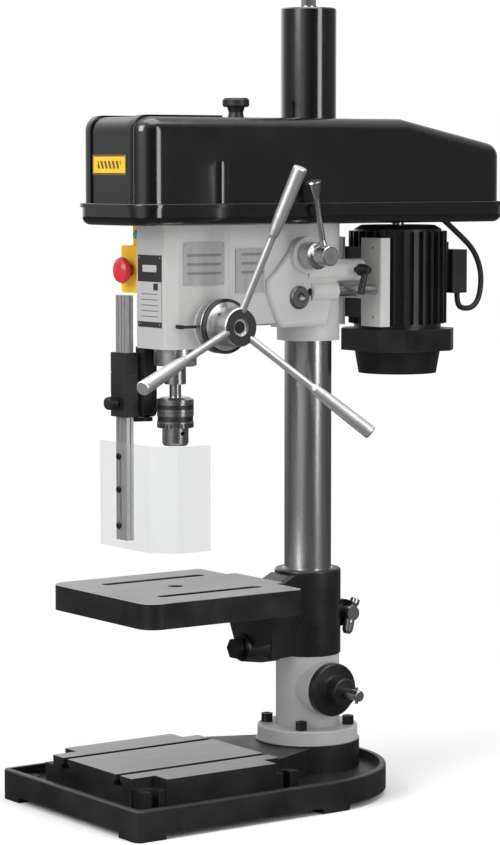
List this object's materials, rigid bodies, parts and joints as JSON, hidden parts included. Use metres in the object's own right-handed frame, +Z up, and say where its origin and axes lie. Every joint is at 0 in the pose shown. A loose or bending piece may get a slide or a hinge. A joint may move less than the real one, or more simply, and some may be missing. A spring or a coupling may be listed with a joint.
{
  "type": "pillar drill press",
  "caption": "Floor- or bench-standing drill press with slotted foot, round column, crank-raised belt-driven head, keyed chuck, clear chuck guard and tilting slotted table.",
  "frame": {"origin": "centre of the rectangle of the four bench bolt holes, on the bench plane, below the spindle axis", "axes": "+Z up along the spindle and the column, -Y towards the operator, +X towards the feed handles"},
  "size_m": [0.3794, 0.742, 1.181],
  "materials": {
    "black_paint": "gloss",
    "black_cast": "satin over cast texture",
    "light_paint": "satin",
    "motor_paint": "satin",
    "ground_steel": "ground",
    "dark_steel": "oiled",
    "chrome": "polished",
    "aluminium": "satin",
    "black_plastic": "moulded",
    "yellow_plastic": "moulded",
    "red_plastic": "moulded",
    "green_plastic": "moulded",
    "clear_sheet": "clear",
    "rubber": "matte",
    "plate_print": "printed",
    "badge_print": "printed"
  },
  "bodies": {
    "base": {"base_casting": "black_cast", "column_flange": "light_paint", "flange_bolts": "dark_steel", "column": "ground_steel", "crank_flange": "black_cast"},
    "crank": {"crank_shaft": "ground_steel"},
    "screw": {"lead_screw": "ground_steel"},
    "table_ring": {"arm_liner": "ground_steel"},
    "arm": {"table_arm": "black_cast", "tilt_bolt": "dark_steel"},
    "arm_clamp": {"arm_clamp_lever": "chrome"},
    "table": {"table": "black_cast"},
    "lifter": {"lift_tube": "ground_steel", "lift_stud": "ground_steel"},
    "head": {"head_casting": "light_paint", "belt_pan": "black_paint", "cover_tube": "black_paint", "depth_pointer": "dark_steel", "spring_cup": "black_plastic", "label_plates": "plate_print", "switch_box": "yellow_plastic", "drive_belt": "rubber", "head_clamp_bolt": "dark_steel", "guard_bracket": "black_plastic"},
    "slide_lock": {"slide_clamp": "black_plastic"},
    "lid": {"belt_lid": "black_paint", "lid_knob": "black_plastic", "badge_plate": "badge_print"},
    "quill": {"quill": "ground_steel", "quill_bearings": "ground_steel"},
    "spindle": {"spindle": "ground_steel", "arbor": "ground_steel", "chuck_body": "chrome"},
    "chuck_sleeve": {"chuck_sleeve": "chrome"},
    "jaw_1": {"chuck_jaw_1": "dark_steel"},
    "jaw_2": {"chuck_jaw_2": "dark_steel"},
    "jaw_3": {"chuck_jaw_3": "dark_steel"},
    "spindle_pulley": {"spindle_pulley": "aluminium"},
    "motor": {"motor_plate": "light_paint", "slide_rods": "ground_steel", "motor_frame": "motor_paint", "motor_shield": "motor_paint", "fan_cover": "motor_paint", "terminal_box": "black_plastic", "motor_lead": "rubber"},
    "rotor": {"motor_rotor": "ground_steel", "motor_pulley": "aluminium"},
    "feed": {"feed_shaft": "ground_steel", "feed_hub": "chrome", "depth_ring": "aluminium", "feed_handles": "chrome"},
    "tension": {"tension_shaft": "chrome", "tension_lever": "chrome"},
    "guard_arm": {"guard_arm": "black_plastic"},
    "guard_knob": {"guard_knob": "black_plastic"},
    "guard": {"guard_rail": "aluminium", "guard_screws": "dark_steel", "guard_shield": "clear_sheet"},
    "stop_button": {"stop_button": "red_plastic"},
    "start_button": {"start_button": "green_plastic"}
  },
  "joints": [
    {"name": "head_lift", "type": "slide", "parent": "base", "child": "lifter", "axis": [0, 0, 1], "range_m": [-0.05, 0.15]},
    {"name": "lead_screw_turn", "type": "hinge", "parent": "base", "child": "screw", "pos_m": [0, 0.238, 0], "axis": [0, 0, 1], "range_deg": [-3700, 10900]},
    {"name": "crank_turn", "type": "hinge", "parent": "base", "child": "crank", "pos_m": [0, 0.238, 0.152], "axis": [1, 0, 0], "range_deg": [-3700, 10900]},
    {"name": "table_lift", "type": "slide", "parent": "base", "child": "table_ring", "axis": [0, 0, 1], "range_m": [0, 0.05]},
    {"name": "table_swing", "type": "hinge", "parent": "table_ring", "child": "arm", "pos_m": [0, 0.238, 0], "axis": [0, 0, 1], "range_deg": [-120, 20]},
    {"name": "table_tilt", "type": "hinge", "parent": "arm", "child": "table", "pos_m": [0, 0.16, 0.218], "axis": [0, 1, 0], "range_deg": [-30, 30]},
    {"name": "arm_clamp_turn", "type": "hinge", "parent": "arm", "child": "arm_clamp", "pos_m": [0, 0.296, 0.258], "axis": [1, 0, 0], "range_deg": [0, 40]},
    {"name": "head_swing", "type": "hinge", "parent": "lifter", "child": "head", "pos_m": [0, 0.238, 0], "axis": [0, 0, 1], "range_deg": [-45, 45]},
    {"name": "lid_lift", "type": "slide", "parent": "head", "child": "lid", "axis": [0, 0, 1], "range_m": [0, 0.33]},
    {"name": "quill_feed", "type": "slide", "parent": "head", "child": "quill", "axis": [0, 0, -1], "range_m": [0, 0.1], "stiffness_N_per_m": 350, "springref_m": -0.25},
    {"name": "feed_turn", "type": "hinge", "parent": "head", "child": "feed", "pos_m": [0, 0.038, 0.699], "axis": [1, 0, 0], "range_deg": [0, 415]},
    {"name": "motor_spin", "type": "hinge", "parent": "motor", "child": "rotor", "pos_m": [0, 0.407, 0], "axis": [0, 0, 1], "continuous": true},
    {"name": "spindle_spin", "type": "hinge", "parent": "quill", "child": "spindle", "pos_m": [0, 0, 0], "axis": [0, 0, 1], "continuous": true},
    {"name": "pulley_spin", "type": "hinge", "parent": "head", "child": "spindle_pulley", "pos_m": [0, 0, 0], "axis": [0, 0, 1], "continuous": true},
    {"name": "motor_slide", "type": "slide", "parent": "head", "child": "motor", "axis": [0, -1, 0], "range_m": [0, 0.012]},
    {"name": "tension_turn", "type": "hinge", "parent": "head", "child": "tension", "pos_m": [0, 0.196, 0.797], "axis": [1, 0, 0], "range_deg": [0, 62]},
    {"name": "slide_lock_turn", "type": "hinge", "parent": "head", "child": "slide_lock", "pos_m": [0, 0.291, 0.774], "axis": [1, 0, 0], "range_deg": [-40, 40]},
    {"name": "guard_swing", "type": "hinge", "parent": "head", "child": "guard_arm", "pos_m": [-0.047, -0.019, 0], "axis": [0, 0, 1], "range_deg": [-75, 0]},
    {"name": "guard_drop", "type": "slide", "parent": "guard_arm", "child": "guard", "axis": [0, 0, -1], "range_m": [0, 0.045]},
    {"name": "guard_knob_turn", "type": "hinge", "parent": "guard_arm", "child": "guard_knob", "pos_m": [-0.062, -0.06, 0.585], "axis": [0, 1, 0], "range_deg": [-180, 180]},
    {"name": "chuck_turn", "type": "hinge", "parent": "spindle", "child": "chuck_sleeve", "pos_m": [0, 0, 0], "axis": [0, 0, 1], "range_deg": [0, 120]},
    {"name": "jaw_1_slide", "type": "slide", "parent": "spindle", "child": "jaw_1", "axis": [-0.2588, 0, -0.9659], "range_m": [0, 0.0062]},
    {"name": "jaw_2_slide", "type": "slide", "parent": "spindle", "child": "jaw_2", "axis": [0.1294, -0.2241, -0.9659], "range_m": [0, 0.0062]},
    {"name": "jaw_3_slide", "type": "slide", "parent": "spindle", "child": "jaw_3", "axis": [0.1294, 0.2241, -0.9659], "range_m": [0, 0.0062]},
    {"name": "stop_press", "type": "slide", "parent": "head", "child": "stop_button", "axis": [0, 1, 0], "range_m": [0, 0.004], "stiffness_N_per_m": 500, "springref_m": -0.004},
    {"name": "start_press", "type": "slide", "parent": "head", "child": "start_button", "axis": [0, 1, 0], "range_m": [0, 0.003], "stiffness_N_per_m": 400, "springref_m": -0.003}
  ],
  "couplings": [
    {"joint": "lead_screw_turn", "follows": "head_lift", "rad_per_m": 1256.6},
    {"joint": "crank_turn", "follows": "head_lift", "rad_per_m": 1256.6},
    {"joint": "feed_turn", "follows": "quill_feed", "rad_per_m": 71.429},
    {"joint": "spindle_spin", "follows": "motor_spin", "ratio": 1},
    {"joint": "pulley_spin", "follows": "motor_spin", "ratio": 1},
    {"joint": "tension_turn", "follows": "motor_slide", "rad_per_m": 87.266},
    {"joint": "jaw_1_slide", "follows": "chuck_turn", "m_per_rad": 0.0028648},
    {"joint": "jaw_2_slide", "follows": "chuck_turn", "m_per_rad": 0.0028648},
    {"joint": "jaw_3_slide", "follows": "chuck_turn", "m_per_rad": 0.0028648}
  ]
}
